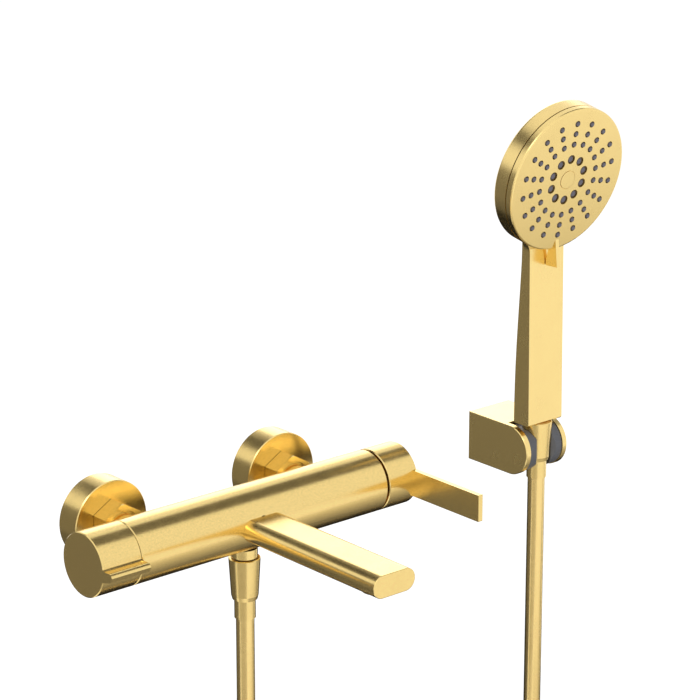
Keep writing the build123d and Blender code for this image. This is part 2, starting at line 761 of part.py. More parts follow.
print("hose radii", [round(radius, 1) for radius in hose_radii])
print("hose volume", round(hose.part.volume), "section times length", round(hose_section * hose_long))
print("hose overall length", round(hose_long + hose_top_z - hose_split_z + hose_end_drop * 2, 1),
      "wanted", hose_overall)

with BuildPart() as hose_mid:
    disc(downwards(handset_x, handset_out, hose_join_z), hose_r, hose_join_z - hose_split_z)
    bore(downwards(handset_x, handset_out, hose_join_z + overrun), hose_bore_r,
         hose_join_z - hose_split_z + overrun + overrun)
save(hose_mid, "hose_mid")

with BuildPart() as hose_top:
    disc(downwards(handset_x, handset_out, hose_top_z), hose_r, hose_top_long)
    bore(downwards(handset_x, handset_out, hose_top_z + overrun), hose_bore_r,
         hose_top_long + overrun + overrun)
save(hose_top, "hose_top")

# Wall bracket: a block with a full round nose, slotted between two cheeks
bracket_mid_z = bracket_top - bracket_high / 2
side_plane = Plane(origin=(bracket_left, 0, 0), x_dir=(0, 1, 0), z_dir=(1, 0, 0))
nose_r = bracket_high / 2
with BuildPart() as bracket_body:
    with BuildSketch(side_plane):
        with Locations((-bracket_nose_out, bracket_mid_z)):
            Rectangle(bracket_nose_out, bracket_high, align=(Align.MIN, Align.CENTER))
            Circle(nose_r)
    extrude(amount=bracket_wide)
    chamfer(bracket_body.faces().filter_by(Axis.X).edges(), bracket_edge)
    with BuildSketch(side_plane.offset(cheek)):
        with Locations((-bracket_nose_out, bracket_mid_z)):
            Circle(insert_r + insert_slot_gap)
        with Locations((-bracket_mouth_out, bracket_mid_z)):
            Rectangle(bracket_nose_out, bracket_high + overrun + overrun, align=(Align.MAX, Align.CENTER))
    extrude(amount=bracket_wide - cheek - cheek, mode=Mode.SUBTRACT)
    with BuildSketch(out_from_wall(handset_x, -overrun, bracket_mid_z)):
        Rectangle(bracket_wide - pocket_wall - pocket_wall, bracket_high - pocket_wall - pocket_wall)
    extrude(amount=pocket_deep + overrun, mode=Mode.SUBTRACT)
    for pin_x in (bracket_left + cheek - pin_in_cheek, bracket_right - cheek):
        pin_plane = Plane(origin=(pin_x, -bracket_nose_out, bracket_mid_z), z_dir=(1, 0, 0))
        bore(pin_plane, pin_r, pin_in_cheek)
    bore(downwards(handset_x, bracket_grub_out, bracket_mid_z), bracket_grub_r + seat_gap, bracket_high)
save(bracket_body, "bracket_body")

plate_wide = bracket_wide - pocket_wall - pocket_wall - air_gap
plate_high = bracket_high - pocket_wall - pocket_wall - air_gap
with BuildPart() as bracket_wall_plate:
    with BuildSketch(out_from_wall(handset_x, 0, bracket_mid_z)):
        Rectangle(plate_wide, plate_high)
    extrude(amount=plate_thick)
    with Locations(out_from_wall(handset_x, plate_thick, bracket_mid_z)):
        with GridLocations(screw_spacing, 0, 2, 1):
            CounterBoreHole(screw_r + slip, screw_head_r + slip, screw_head_high + slip)
    bore(downwards(handset_x, bracket_grub_out, bracket_mid_z - plate_high / 2 + key_deep),
         bracket_grub_r + seat_gap, plate_high)
save(bracket_wall_plate, "bracket_wall_plate")

with BuildPart() as bracket_grub_screw:
    grub_top = bracket_mid_z - plate_high / 2 + key_deep
    disc(downwards(handset_x, bracket_grub_out, grub_top), bracket_grub_r, pocket_wall + key_deep)
    with BuildSketch(downwards(handset_x, bracket_grub_out, grub_top - pocket_wall)):
        RegularPolygon(key_r, 6)
    extrude(amount=key_deep, mode=Mode.SUBTRACT)
save(bracket_grub_screw, "bracket_grub_screw")

# Insert that swivels on two pins and grips the conical nut
insert_left = bracket_left + cheek + air_gap
insert_wide = bracket_wide - cheek - cheek - air_gap - air_gap
insert_side = Plane(origin=(insert_left, -bracket_nose_out, bracket_mid_z), x_dir=(0, 1, 0), z_dir=(1, 0, 0))
throat_out = bracket_nose_out + insert_r - throat_from_nose
with BuildPart() as holder_insert:
    with BuildSketch(insert_side):
        Circle(insert_r)
        with Locations((0, insert_top_cut)):
            Rectangle(insert_r + insert_r, insert_r, align=(Align.CENTER, Align.MIN), mode=Mode.SUBTRACT)
    extrude(amount=insert_wide)
    taper(downwards(handset_x, handset_out, handset_nut_top), hose_nut_top_r + air_gap,
          hose_nut_low_r + air_gap, hose_nut_cone, Mode.SUBTRACT)
    bore(downwards(handset_x, handset_out, handset_nut_top - hose_nut_cone + slip),
         hose_nut_low_r + air_gap, bracket_high)
    with BuildSketch(Plane(origin=(handset_x, 0, bracket_mid_z - bracket_high))):
        Polygon(
            (-throat_half, -handset_out),
            (throat_half, -handset_out),
            (throat_half, -throat_out),
            (mouth_half, -bracket_nose_out - insert_r),
            (mouth_half, -bracket_nose_out - insert_r - overrun),
            (-mouth_half, -bracket_nose_out - insert_r - overrun),
            (-mouth_half, -bracket_nose_out - insert_r),
            (-throat_half, -throat_out),
            align=None,
        )
    extrude(amount=bracket_high + bracket_high, mode=Mode.SUBTRACT)
    for pin_x in (insert_left - overrun, insert_left + insert_wide - pin_in_insert - slip):
        pin_plane = Plane(origin=(pin_x, -bracket_nose_out, bracket_mid_z), z_dir=(1, 0, 0))
        bore(pin_plane, pin_r + pin_running, pin_in_insert + overrun + slip)
save(holder_insert, "holder_insert")

with BuildPart() as holder_pins:
    pin_long = pin_in_cheek + air_gap + pin_in_insert
    for pin_x in (bracket_left + cheek - pin_in_cheek, bracket_right - cheek + pin_in_cheek - pin_long):
        disc(Plane(origin=(pin_x, -bracket_nose_out, bracket_mid_z), z_dir=(1, 0, 0)), pin_r, pin_long)
save(holder_pins, "holder_pins")

# Hand shower: handle and round back shell in one piece
handle_left = handset_x - handle_wide / 2
handle_side = Plane(origin=(handle_left, 0, 0), x_dir=(0, 1, 0), z_dir=(1, 0, 0))
handle_back_out = handle_front_out - handle_bottom_deep
front_top_out = handle_front_out - handle_front_back_lean
back_top_out = front_top_out - handle_top_deep
handle_back_rises = (0.28, 0.5, 0.72, 0.9)
handle_back_shares = (0.10, 0.36, 0.72, 0.97)
shell_front = -plate_back - seam_gap
with BuildPart() as handset_body:
    disc(head_plane(shell_front - shell_deep), head_r, shell_deep)
    fillet(handset_body.edges().sort_by(Axis((0, 0, 0), HEAD_NORMAL))[0], shell_edge)
    with BuildSketch(handle_side):
        with BuildLine():
            back_line = Spline(
                (-handle_back_out, handle_bottom),
                *[
                    (-handle_back_out - share * (back_top_out - handle_back_out), handle_rise * rise)
                    for rise, share in zip(handle_back_rises, handle_back_shares)
                ],
                (-back_top_out, handle_rise),
                tangents=((0, 1), (0, 1)),
            )
            Polyline(
                back_line @ 1,
                (-front_top_out, handle_rise),
                (-handle_front_out, handle_bottom),
                back_line @ 0,
            )
        make_face()
    extrude(amount=handle_wide)
    chamfer(handset_body.edges().filter_by(Axis.X).group_by(Axis.Z)[0], handle_edge)
    with BuildSketch(head_plane(shell_front - web_back)) as shell_outline:
        Circle(head_r)
        with Locations((0, -head_r)):
            Rectangle(handle_wide, shell_fillet + shell_fillet)
        fillet(shell_outline.vertices().group_by(Axis.Y)[1], shell_fillet)
    extrude(amount=-web_deep)
    bore(head_plane(shell_front - shell_cavity_deep), shell_cavity_r, shell_cavity_deep + overrun)
    bore(downwards(handset_x, handset_out, handle_bottom + connector_rise), connector_r + seat_gap,
         connector_rise + overrun)
    way = Plane(origin=(handset_x, -handset_out, handle_bottom + overrun), x_dir=(1, 0, 0),
                z_dir=(0, -waterway_lean, waterway_top - handle_bottom))
    bore(way, waterway_r, waterway_top - handle_bottom)
save(handset_body, "handset_body")

with BuildPart() as handset_connector:
    disc(downwards(handset_x, handset_out, handle_bottom + connector_rise - slip), connector_r,
         connector_rise)
    disc(downwards(handset_x, handset_out, handle_bottom - seat_gap), outlet_neck_r, handle_neck - seat_gap)
    disc(downwards(handset_x, handset_out, handset_nut_top), thread_r, thread_long - seat_gap)
    bore(downwards(handset_x, handset_out, handle_bottom + connector_rise + overrun), connector_bore_r,
         connector_rise + handle_neck + thread_long + overrun + overrun)
save(handset_connector, "handset_connector")

with BuildPart() as water_tube:
    tube_long = water_tube_top - handle_bottom - connector_rise - overrun
    tube_way = way.offset(connector_rise)
    disc(tube_way, waterway_r - seat_gap, tube_long)
    bore(tube_way.offset(-overrun), waterway_r - seat_gap - water_tube_wall, tube_long + overrun + overrun)
save(water_tube, "water_tube")

# Fixed spray core: a disc in the shell with a post that the spray face turns on
core_back = shell_front - shell_cavity_deep
with BuildPart() as spray_core:
    disc(head_plane(core_back), shell_cavity_r - seat_gap, core_thick)
    disc(head_plane(core_back), core_post_r, plate_front - plate_wall - air_gap - core_back)
    with Locations(head_plane(core_back)):
        for ring_radius in nozzle_ring_radii[1:]:
            with PolarLocations(ring_radius, 6):
                Cylinder(jet_hole_r, core_thick, align=SEATED, mode=Mode.SUBTRACT)
    bore(head_plane(plate_front - plate_wall - pivot_deep), pivot_r, pivot_deep)
    bore(head_plane(core_back), shell_cavity_r - plate_skirt, core_step)
    bore(way, waterway_r, waterway_top - handle_bottom)
save(spray_core, "spray_core")

# Turning spray face: a cup with the nozzle holes, and a tab below it to turn it by
mat_front = plate_front - plate_wall
cap_seat = plate_front - cap_thick + cap_proud
with BuildPart() as face_plate:
    disc(head_plane(-plate_back), head_r, plate_back + plate_front)
    rim_edges = face_plate.edges().filter_by(GeomType.CIRCLE).sort_by(Axis((0, 0, 0), HEAD_NORMAL))
    fillet(rim_edges[-1], plate_edge)
    chamfer(face_plate.edges().filter_by(GeomType.CIRCLE).sort_by(Axis((0, 0, 0), HEAD_NORMAL))[0],
            seam_chamfer)
    bore(head_plane(-plate_back - overrun), head_r - plate_skirt, plate_back + mat_front + overrun)
    # The tab's points are measured from the head's centre: down the face, and out in front of it
    tilt_sin = math.sin(math.radians(head_tilt))
    tab_back_out = handle_front_out - handle_front_back_lean + tab_gap
    tab_side = Plane(origin=(handset_x - tab_thick / 2, -head_out, head_up), x_dir=(0, 1, 0), z_dir=(1, 0, 0))
    head_cos = math.cos(math.radians(head_tilt))

    def tab_point(down, front):
        """A point in the tab's plane, this far down the face and in front of the rim."""
        return (down * tilt_sin - front * head_cos, -down * head_cos - front * tilt_sin)

    with BuildSketch(tab_side):
        Polygon(
            tab_point(tab_start_r, mat_front + edge_break),
            tab_point(tab_start_r, tab_rise_out),
            tab_point(tab_tip_r, tab_tip_out),
            (head_out - tab_back_out - edge_break, tab_low_up - head_up),
            (head_out - tab_back_out, tab_low_up - head_up + edge_break),
            tab_point(tab_tip_r - overrun, -plate_back),
            tab_point(head_r - plate_skirt / 2, -plate_back + seam_chamfer),
            tab_point(head_r - plate_skirt / 2, mat_front + edge_break),
            align=None,
        )
    extrude(amount=tab_thick)
    with Locations(head_plane(mat_front - overrun)):
        for ring_radius in nozzle_ring_radii:
            with PolarLocations(ring_radius, nozzle_count, start_angle=nozzle_first):
                Cylinder(nozzle_hole_r, plate_wall + overrun + overrun, align=SEATED, mode=Mode.SUBTRACT)
        with PolarLocations(jet_ring_r, jet_count, start_angle=jet_first):
            Cylinder(jet_hole_r, plate_wall + overrun + overrun, align=SEATED, mode=Mode.SUBTRACT)
        Cylinder(pivot_r + seat_gap, plate_wall + overrun + overrun, align=SEATED, mode=Mode.SUBTRACT)
    bore(head_plane(cap_seat - pivot_head_high), pivot_head_r + slip, pivot_head_high + slip)
    bore(head_plane(cap_seat), cap_r + cap_gap, cap_thick)
save(face_plate, "face_plate")

# Soft nozzles: small ones in three rings on one mat, and ten larger ones on a ring of their own
nozzle_long = plate_wall + nozzle_proud
mat_split_r = (jet_ring_r + jet_foot_r + nozzle_ring_radii[-1] - nozzle_foot_r) / 2
mat_plane = head_plane(mat_front - mat_thick)
with BuildPart() as nozzle_mat:
    disc(mat_plane, head_r - plate_skirt - air_gap, mat_thick - seat_gap)
    bore(mat_plane, mat_split_r, mat_thick)
    with Locations(head_plane(mat_front - mat_thick / 2)):
        for ring_radius in nozzle_ring_radii:
            with PolarLocations(ring_radius, nozzle_count, start_angle=nozzle_first):
                Cone(nozzle_foot_r, nozzle_tip_r, nozzle_long + mat_thick / 2, align=SEATED)
save(nozzle_mat, "nozzle_mat")

with BuildPart() as massage_nozzles:
    disc(mat_plane, mat_split_r - air_gap, mat_thick - seat_gap)
    bore(mat_plane, core_hub_r, mat_thick)
    with Locations(head_plane(mat_front - mat_thick / 2)):
        with PolarLocations(jet_ring_r, jet_count, start_angle=jet_first):
            Cone(jet_foot_r, jet_tip_r, plate_wall - jet_below + mat_thick / 2, align=SEATED)
save(massage_nozzles, "massage_nozzles")

with BuildPart() as mat_plate:
    plate_plane = head_plane(mat_front - mat_thick - mat_plate_thick)
    disc(plate_plane, head_r - plate_skirt - air_gap, mat_plate_thick - seat_gap)
    bore(plate_plane, core_post_r + air_gap, mat_plate_thick)
    with Locations(plate_plane):
        for ring_radius in nozzle_ring_radii[1:]:
            with PolarLocations(ring_radius, nozzle_count, start_angle=nozzle_first):
                Cylinder(nozzle_tip_r, mat_plate_thick, align=SEATED, mode=Mode.SUBTRACT)
save(mat_plate, "mat_plate")

with BuildPart() as pivot_screw:
    head_seat = cap_seat - pivot_head_high + seat_gap
    disc(head_plane(head_seat - pivot_deep), pivot_r - seat_gap, pivot_deep + seat_gap)
    disc(head_plane(head_seat), pivot_head_r, pivot_head_high - slip)
save(pivot_screw, "pivot_screw")

with BuildPart() as centre_cap:
    disc(head_plane(cap_seat), cap_r, cap_thick)
    chamfer(centre_cap.edges().filter_by(GeomType.CIRCLE).sort_by(Axis((0, 0, 0), HEAD_NORMAL))[-1],
            cap_proud / 2)
save(centre_cap, "centre_cap")
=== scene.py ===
"""Bath shower mixer in satin gold, with its hose, wall bracket and hand shower.

Lengths are in metres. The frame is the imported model's: the origin is on the wall midway
between the inlets, X runs right along the wall, Y into the wall and Z up.
"""

import logging
from dataclasses import dataclass
from enum import Enum
from typing import Sequence

import bpy
from mathutils import Matrix, Vector

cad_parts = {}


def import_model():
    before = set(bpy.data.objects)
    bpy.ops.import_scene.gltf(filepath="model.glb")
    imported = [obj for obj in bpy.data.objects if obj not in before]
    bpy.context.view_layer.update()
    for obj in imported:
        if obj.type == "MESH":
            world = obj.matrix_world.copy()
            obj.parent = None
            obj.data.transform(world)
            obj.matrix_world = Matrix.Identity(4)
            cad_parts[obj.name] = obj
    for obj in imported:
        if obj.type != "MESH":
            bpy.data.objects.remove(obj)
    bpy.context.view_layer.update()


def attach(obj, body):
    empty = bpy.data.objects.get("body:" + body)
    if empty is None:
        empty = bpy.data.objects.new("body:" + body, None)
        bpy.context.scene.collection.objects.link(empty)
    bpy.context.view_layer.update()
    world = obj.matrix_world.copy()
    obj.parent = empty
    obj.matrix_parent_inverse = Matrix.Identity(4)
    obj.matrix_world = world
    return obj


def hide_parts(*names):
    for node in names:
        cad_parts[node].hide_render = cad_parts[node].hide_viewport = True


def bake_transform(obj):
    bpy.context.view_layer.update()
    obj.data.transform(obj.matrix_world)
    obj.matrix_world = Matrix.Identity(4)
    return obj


log = logging.getLogger("bath_shower_mixer")

Point = tuple[float, float, float]
Pair = tuple[float, float]
Colour = tuple[float, float, float, float]

IMAGE_PIXELS = 700
NODE_SPACING = 180
PLAIN_WHITE: Colour = (1, 1, 1, 1)


class Body(str, Enum):
    """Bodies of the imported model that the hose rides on."""

    MIXER = "mixer"
    HOLDER = "holder"
    HANDSET = "handset"


class Lay(str, Enum):
    """How the hose lies."""

    HANGING = "hanging"


# ---- Shader tools


class NodeDesk:
    """Adds and wires shader nodes in one node tree."""

    def __init__(self, tree: bpy.types.NodeTree) -> None:
        """Work on a tree.

        Args:
            tree: The material's or group's node tree.
        """
        self.tree = tree
        self.column = 0

    def add(self, kind: str, **values: object) -> bpy.types.Node:
        """Add a node and set its plain properties.

        Args:
            kind: The node's type name.
            **values: Properties to set on the node.

        Returns:
            The new node.
        """
        node = self.tree.nodes.new(kind)
        node.location = (self.column * NODE_SPACING, 0)
        self.column += 1
        for name, value in values.items():
            setattr(node, name, value)
        return node

    def wire(self, source: bpy.types.NodeSocket, target: bpy.types.NodeSocket) -> None:
        """Join an output to an input."""
        self.tree.links.new(source, target)


@dataclass(frozen=True)
class SatinGrain:
    """The grain in every finish: specks in the colour, clouds in the roughness."""

    title: str = "Satin Grain"
    colour_inputs: Sequence[str] = ("Base",)
    value_inputs: Sequence[str] = ("Speck Size", "Speck Depth", "Cloud Size", "Roughness")
    colour_outputs: Sequence[str] = ("Color",)
    value_outputs: Sequence[str] = ("Roughness", "Height")
    speck_detail: float = 3.0
    speck_roughness: float = 0.7
    speck_range: Pair = (0.3, 0.7)
    cloud_detail: float = 4.0
    cloud_depth: float = 0.16

    def sockets(self, tree: bpy.types.NodeTree) -> None:
        """Give the group its named inputs and outputs.

        Args:
            tree: The group's node tree.
        """
        for names, way, kind in (
            (self.colour_inputs, "INPUT", "NodeSocketColor"),
            (self.value_inputs, "INPUT", "NodeSocketFloat"),
            (self.colour_outputs, "OUTPUT", "NodeSocketColor"),
            (self.value_outputs, "OUTPUT", "NodeSocketFloat"),
        ):
            for name in names:
                tree.interface.new_socket(name, in_out=way, socket_type=kind)

    def group(self) -> bpy.types.NodeTree:
        """Build the node group, or find it if it is there already.

        Returns:
            The group, with inputs Base, Speck Size, Speck Depth, Cloud Size and Roughness.
        """
        if self.title in bpy.data.node_groups:
            return bpy.data.node_groups[self.title]
        tree = bpy.data.node_groups.new(self.title, "ShaderNodeTree")
        self.sockets(tree)
        desk = NodeDesk(tree)
        given = desk.add("NodeGroupInput")
        place = desk.add("ShaderNodeTexCoord")
        out = desk.add("NodeGroupOutput")

        # Specks darken the base by up to the speck depth, and raise the surface.
        speck = desk.add("ShaderNodeTexNoise")
        speck.inputs["Detail"].default_value = self.speck_detail
        speck.inputs["Roughness"].default_value = self.speck_roughness
        shade = desk.add("ShaderNodeMapRange")
        shade.inputs["From Min"].default_value = self.speck_range[0]
        shade.inputs["From Max"].default_value = self.speck_range[1]
        darken = desk.add("ShaderNodeMath", operation="MULTIPLY")
        keep = desk.add("ShaderNodeMath", operation="SUBTRACT")
        keep.inputs[0].default_value = 1.0
        tint = desk.add("ShaderNodeMix", data_type="RGBA", blend_type="MULTIPLY")
        tint.inputs["Factor"].default_value = 1.0
        desk.wire(place.outputs["Object"], speck.inputs["Vector"])
        desk.wire(given.outputs["Speck Size"], speck.inputs["Scale"])
        desk.wire(speck.outputs["Fac"], shade.inputs["Value"])
        desk.wire(shade.outputs["Result"], darken.inputs[0])
        desk.wire(given.outputs["Speck Depth"], darken.inputs[1])
        desk.wire(darken.outputs["Value"], keep.inputs[1])
        desk.wire(given.outputs["Base"], tint.inputs["A"])
        desk.wire(keep.outputs["Value"], tint.inputs["B"])
        desk.wire(tint.outputs["Result"], out.inputs["Color"])
        desk.wire(speck.outputs["Fac"], out.inputs["Height"])

        # Clouds vary the roughness by half the cloud depth to either side.
        cloud = desk.add("ShaderNodeTexNoise")
        cloud.inputs["Detail"].default_value = self.cloud_detail
        least = desk.add("ShaderNodeMath", operation="SUBTRACT")
        least.inputs[1].default_value = self.cloud_depth / 2
        rough = desk.add("ShaderNodeMath", operation="MULTIPLY_ADD")
        rough.inputs[1].default_value = self.cloud_depth
        desk.wire(place.outputs["Object"], cloud.inputs["Vector"])
        desk.wire(given.outputs["Cloud Size"], cloud.inputs["Scale"])
        desk.wire(given.outputs["Roughness"], least.inputs[0])
        desk.wire(cloud.outputs["Fac"], rough.inputs[0])
        desk.wire(least.outputs["Value"], rough.inputs[2])
        desk.wire(rough.outputs["Value"], out.inputs["Roughness"])
        return tree


@dataclass(frozen=True)
class Finish:
    """One surface finish: a base colour with the satin grain over it.

    Speck and cloud sizes are noise scales, so a larger number is a finer pattern.
    """

    title: str
    base: Colour
    roughness: float
    metallic: float = 0.0
    speck_size: float = 900.0
    speck_depth: float = 0.1
    cloud_size: float = 60.0
    bump: float = 0.05
    bump_height: float = 0.0002
    coat: float = 0.0
    sheen: float = 0.0

    def material(self) -> bpy.types.Material:
        """Build the material, or find it if it is there already.

        Returns:
            The finish as a node material.
        """
        if self.title in bpy.data.materials:
            return bpy.data.materials[self.title]
        paint = bpy.data.materials.new(self.title)
        paint.use_nodes = True
        paint.node_tree.nodes.clear()
        desk = NodeDesk(paint.node_tree)
        grain = desk.add("ShaderNodeGroup", node_tree=SatinGrain().group())
        grain.inputs["Base"].default_value = self.base
        grain.inputs["Speck Size"].default_value = self.speck_size
        grain.inputs["Speck Depth"].default_value = self.speck_depth
        grain.inputs["Cloud Size"].default_value = self.cloud_size
        grain.inputs["Roughness"].default_value = self.roughness
        bump = desk.add("ShaderNodeBump")
        bump.inputs["Strength"].default_value = self.bump
        bump.inputs["Distance"].default_value = self.bump_height
        shader = desk.add("ShaderNodeBsdfPrincipled")
        shader.inputs["Metallic"].default_value = self.metallic
        shader.inputs["Coat Weight"].default_value = self.coat
        shader.inputs["Sheen Weight"].default_value = self.sheen
        out = desk.add("ShaderNodeOutputMaterial")
        desk.wire(grain.outputs["Color"], shader.inputs["Base Color"])
        desk.wire(grain.outputs["Roughness"], shader.inputs["Roughness"])
        desk.wire(grain.outputs["Height"], bump.inputs["Height"])
        desk.wire(bump.outputs["Normal"], shader.inputs["Normal"])
        desk.wire(shader.outputs["BSDF"], out.inputs["Surface"])
        return paint


SATIN_GOLD = Finish(
    "satin_gold", base=(0.94, 0.70, 0.27, 1), roughness=0.23, metallic=1.0,
    speck_depth=0.14, bump=0.05,
)
FINE_GOLD = Finish(
    "fine_gold", base=(0.95, 0.72, 0.29, 1), roughness=0.25, metallic=1.0,
    speck_depth=0.03, bump=0.01,
)
HOSE_GOLD = Finish(
    "smooth_hose_gold", base=(0.94, 0.70, 0.28, 1), roughness=0.25, metallic=1.0,
    speck_depth=0.03, bump=0.01,
)
DARK_PLASTIC = Finish(
    "dark_plastic", base=(0.07, 0.075, 0.095, 1), roughness=0.42, speck_size=1500, bump=0.08,
)
INSERT_PLASTIC = Finish(
    "insert_plastic", base=(0.17, 0.175, 0.195, 1), roughness=0.45,
    speck_size=1500, speck_depth=0.35, bump=0.2,
)
SOFT_NOZZLE = Finish(
    "soft_nozzle", base=(0.20, 0.19, 0.24, 1), roughness=0.55,
    speck_size=1500, bump=0.05, sheen=0.1,
)
BLACK_RUBBER = Finish(
    "black_rubber", base=(0.03, 0.03, 0.032, 1), roughness=0.7, speck_size=1500, bump=0.1,
)
FIRED_CERAMIC = Finish(
    "fired_ceramic", base=(0.84, 0.83, 0.79, 1), roughness=0.3, speck_depth=0.04, coat=0.3,
)
PLAIN_STEEL = Finish(
    "plain_steel", base=(0.60, 0.60, 0.61, 1), roughness=0.34, metallic=1.0, speck_size=1600,
)
TURNED_BRASS = Finish(
    "turned_brass", base=(0.73, 0.53, 0.24, 1), roughness=0.32, metallic=1.0, speck_size=1200,
)


def dress(finish: Finish, nodes: Sequence[str]) -> None:
    """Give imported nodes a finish, without touching their meshes.

    Args:
        finish: The finish they get.
        nodes: Names of the nodes.
    """
    paint = finish.material()
    for node in nodes:
        for slot in bpy.data.objects[node].material_slots:
            slot.link = "OBJECT"
            slot.material = paint
        log.info("%s dressed in %s", node, finish.title)


# ---- The object's sub-assemblies


@dataclass
class MixerBody:
    """The mixer on the wall, with its spout, lever, knob and wall connections."""

    gold: Sequence[str] = (
        "body_casting", "spout", "wall_flange_left", "wall_flange_right", "union_nut_left",
        "union_nut_right", "diverter_knob", "lever_handle", "aerator_housing",
    )
    brass: Sequence[str] = (
        "wall_union_left", "wall_union_right", "outlet_nipple", "cartridge_nut", "lever_stem",
        "diverter_spindle", "diverter_nut",
    )
    plastic: Sequence[str] = (
        "cartridge_base", "cartridge_carrier", "cartridge_housing", "diverter_housing",
        "outlet_check_valve", "inlet_check_valve_left", "inlet_check_valve_right", "aerator_insert",
    )
    ceramic: Sequence[str] = (
        "ceramic_disc_fixed", "ceramic_disc_moving", "diverter_disc_fixed", "diverter_disc_moving",
    )
    seals: Sequence[str] = ("union_gasket_left", "union_gasket_right")
    screws: Sequence[str] = ("lever_grub_screw", "knob_grub_screw", "stem_pin")

    def finish(self) -> None:
        """Dress every node of the mixer."""
        dress(SATIN_GOLD, self.gold)
        dress(TURNED_BRASS, self.brass)
        dress(DARK_PLASTIC, self.plastic)
        dress(FIRED_CERAMIC, self.ceramic)
        dress(BLACK_RUBBER, self.seals)
        dress(PLAIN_STEEL, self.screws)


@dataclass
class Bracket:
    """The wall bracket with its swivelling insert."""

    gold: Sequence[str] = ("bracket_body",)
    insert: Sequence[str] = ("holder_insert",)
    steel: Sequence[str] = ("bracket_wall_plate", "bracket_grub_screw", "holder_pins")

    def finish(self) -> None:
        """Dress every node of the bracket."""
        dress(FINE_GOLD, self.gold)
        dress(INSERT_PLASTIC, self.insert)
        dress(PLAIN_STEEL, self.steel)


@dataclass
class HandShower:
    """The hand shower with its turning spray face."""

    gold: Sequence[str] = ("handset_body", "face_plate", "centre_cap")
    nozzles: Sequence[str] = ("nozzle_mat", "massage_nozzles")
    inside: Sequence[str] = ("mat_plate", "spray_core", "water_tube")
    steel: Sequence[str] = ("pivot_screw",)
    brass: Sequence[str] = ("handset_connector",)

    def finish(self) -> None:
        """Dress every node of the hand shower."""
        dress(FINE_GOLD, self.gold)
        dress(SOFT_NOZZLE, self.nozzles)
        dress(DARK_PLASTIC, self.inside)
        dress(PLAIN_STEEL, self.steel)
        dress(TURNED_BRASS, self.brass)


@dataclass
class ShowerHose:
    """The smooth hose that hangs in a loop from the outlet up to the hand shower.

    The loop rides on the mixer. The two straight lengths above it are plain meshes, cut into short
    pieces along their length.
    """

    diameter: float = 0.013
    # Down from the outlet, round the bottom, and up to where the middle length starts.
    loop_route: Sequence[Point] = (
        (0, -0.070, -0.0735),
        (0, -0.070, -0.193),
        (-0.0015, -0.0698, -0.318),
        (0.0005, -0.0695, -0.447),
        (0.040, -0.0676, -0.516),
        (0.108, -0.0638, -0.5554),
        (0.188, -0.0592, -0.5554),
        (0.256, -0.0554, -0.516),
        (0.2955, -0.0534, -0.447),
        (0.296, -0.053, -0.372),
        (0.296, -0.053, -0.2949),
    )
    loop_length: float = 0.9110
    mid_top: Point = (0.296, -0.053, -0.1449)
    top_end: Point = (0.296, -0.053, -0.0449)
    loop_smoothness: int = 24
    straight_smoothness: int = 2
    straight_pieces: int = 16
    ring_smoothness: int = 10
    fittings: Sequence[str] = (
        "hose_nut_mixer", "hose_nut_handset", "hose_ferrule_mixer", "hose_ferrule_handset",
    )
    washers: Sequence[str] = ("hose_washer_mixer", "hose_washer_handset")

    def tube(self, name: str, route: Sequence[Point], smoothness: int) -> bpy.types.Object:
        """Make a round tube along a smooth line.

        Args:
            name: The piece's name.
            route: The line's control points.
            smoothness: How many rings the tube has from one control point to the next.

        Returns:
            The tube as a curve object.
        """
        line = bpy.data.curves.new(name, "CURVE")
        line.dimensions = "3D"
        line.resolution_u = smoothness
        line.bevel_depth = self.diameter / 2
        line.bevel_resolution = self.ring_smoothness
        spline = line.splines.new("NURBS")
        spline.points.add(len(route) - 1)
        for control, place in zip(spline.points, route):
            control.co = (*place, 1.0)
        spline.order_u = 3
        spline.use_endpoint_u = True
        piece = bpy.data.objects.new(name, line)
        bpy.context.scene.collection.objects.link(piece)
        piece.data.materials.append(HOSE_GOLD.material())
        return piece

    def straight(
        self, name: str, low: Point, high: Point
    ) -> tuple[bpy.types.Object, list[Point]]:
        """Make a straight length of the hose as a mesh in short pieces.

        Args:
            name: The piece's name.
            low: Its lower end.
            high: Its upper end.

        Returns:
            The tube, and the points along its centre.
        """
        steps = self.straight_pieces
        path = [tuple(Vector(low).lerp(Vector(high), i / steps)) for i in range(steps + 1)]
        piece = self.tube(name, path, self.straight_smoothness)
        bpy.ops.object.select_all(action="DESELECT")
        bpy.context.view_layer.objects.active = piece
        piece.select_set(True)
        bpy.ops.object.convert(target="MESH")
        bpy.ops.object.shade_smooth()
        return bpy.context.view_layer.objects.active, path

    def build(self) -> None:
        """Make the hose's three lengths and say what each replaces and follows."""
        loop = self.tube("hose_loop", self.loop_route, self.loop_smoothness)
        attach(loop, Body.MIXER.value)
        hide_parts("hose")
        log.info("%s hung on the mixer", loop.name)
        split = self.loop_route[-1]
        middle, path = self.straight("hose_middle_length", split, self.mid_top)
        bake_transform(middle)
        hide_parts("hose_mid")
        log.info("%s hung from the mixer to the holder", middle.name)
        upper, path = self.straight("hose_upper_length", self.mid_top, self.top_end)
        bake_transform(upper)
        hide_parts("hose_top")
        log.info("%s hung from the holder to the handset", upper.name)
        dress(SATIN_GOLD, self.fittings)
        dress(BLACK_RUBBER, self.washers)


# ---- Studio


@dataclass(frozen=True)
class Lamp:
    """A round, soft lamp: its middle, the point it faces, its width and its watts."""

    name: str
    place: Point
    aim: Point
    size: float
    power: float


@dataclass(frozen=True)
class Card:
    """A grey card that only reflections show: its middle, the point it faces and its size.

    The greys are how bright it looks at its front edge and at its back edge.
    """

    name: str
    place: Point
    aim: Point
    size: Pair
    greys: Pair


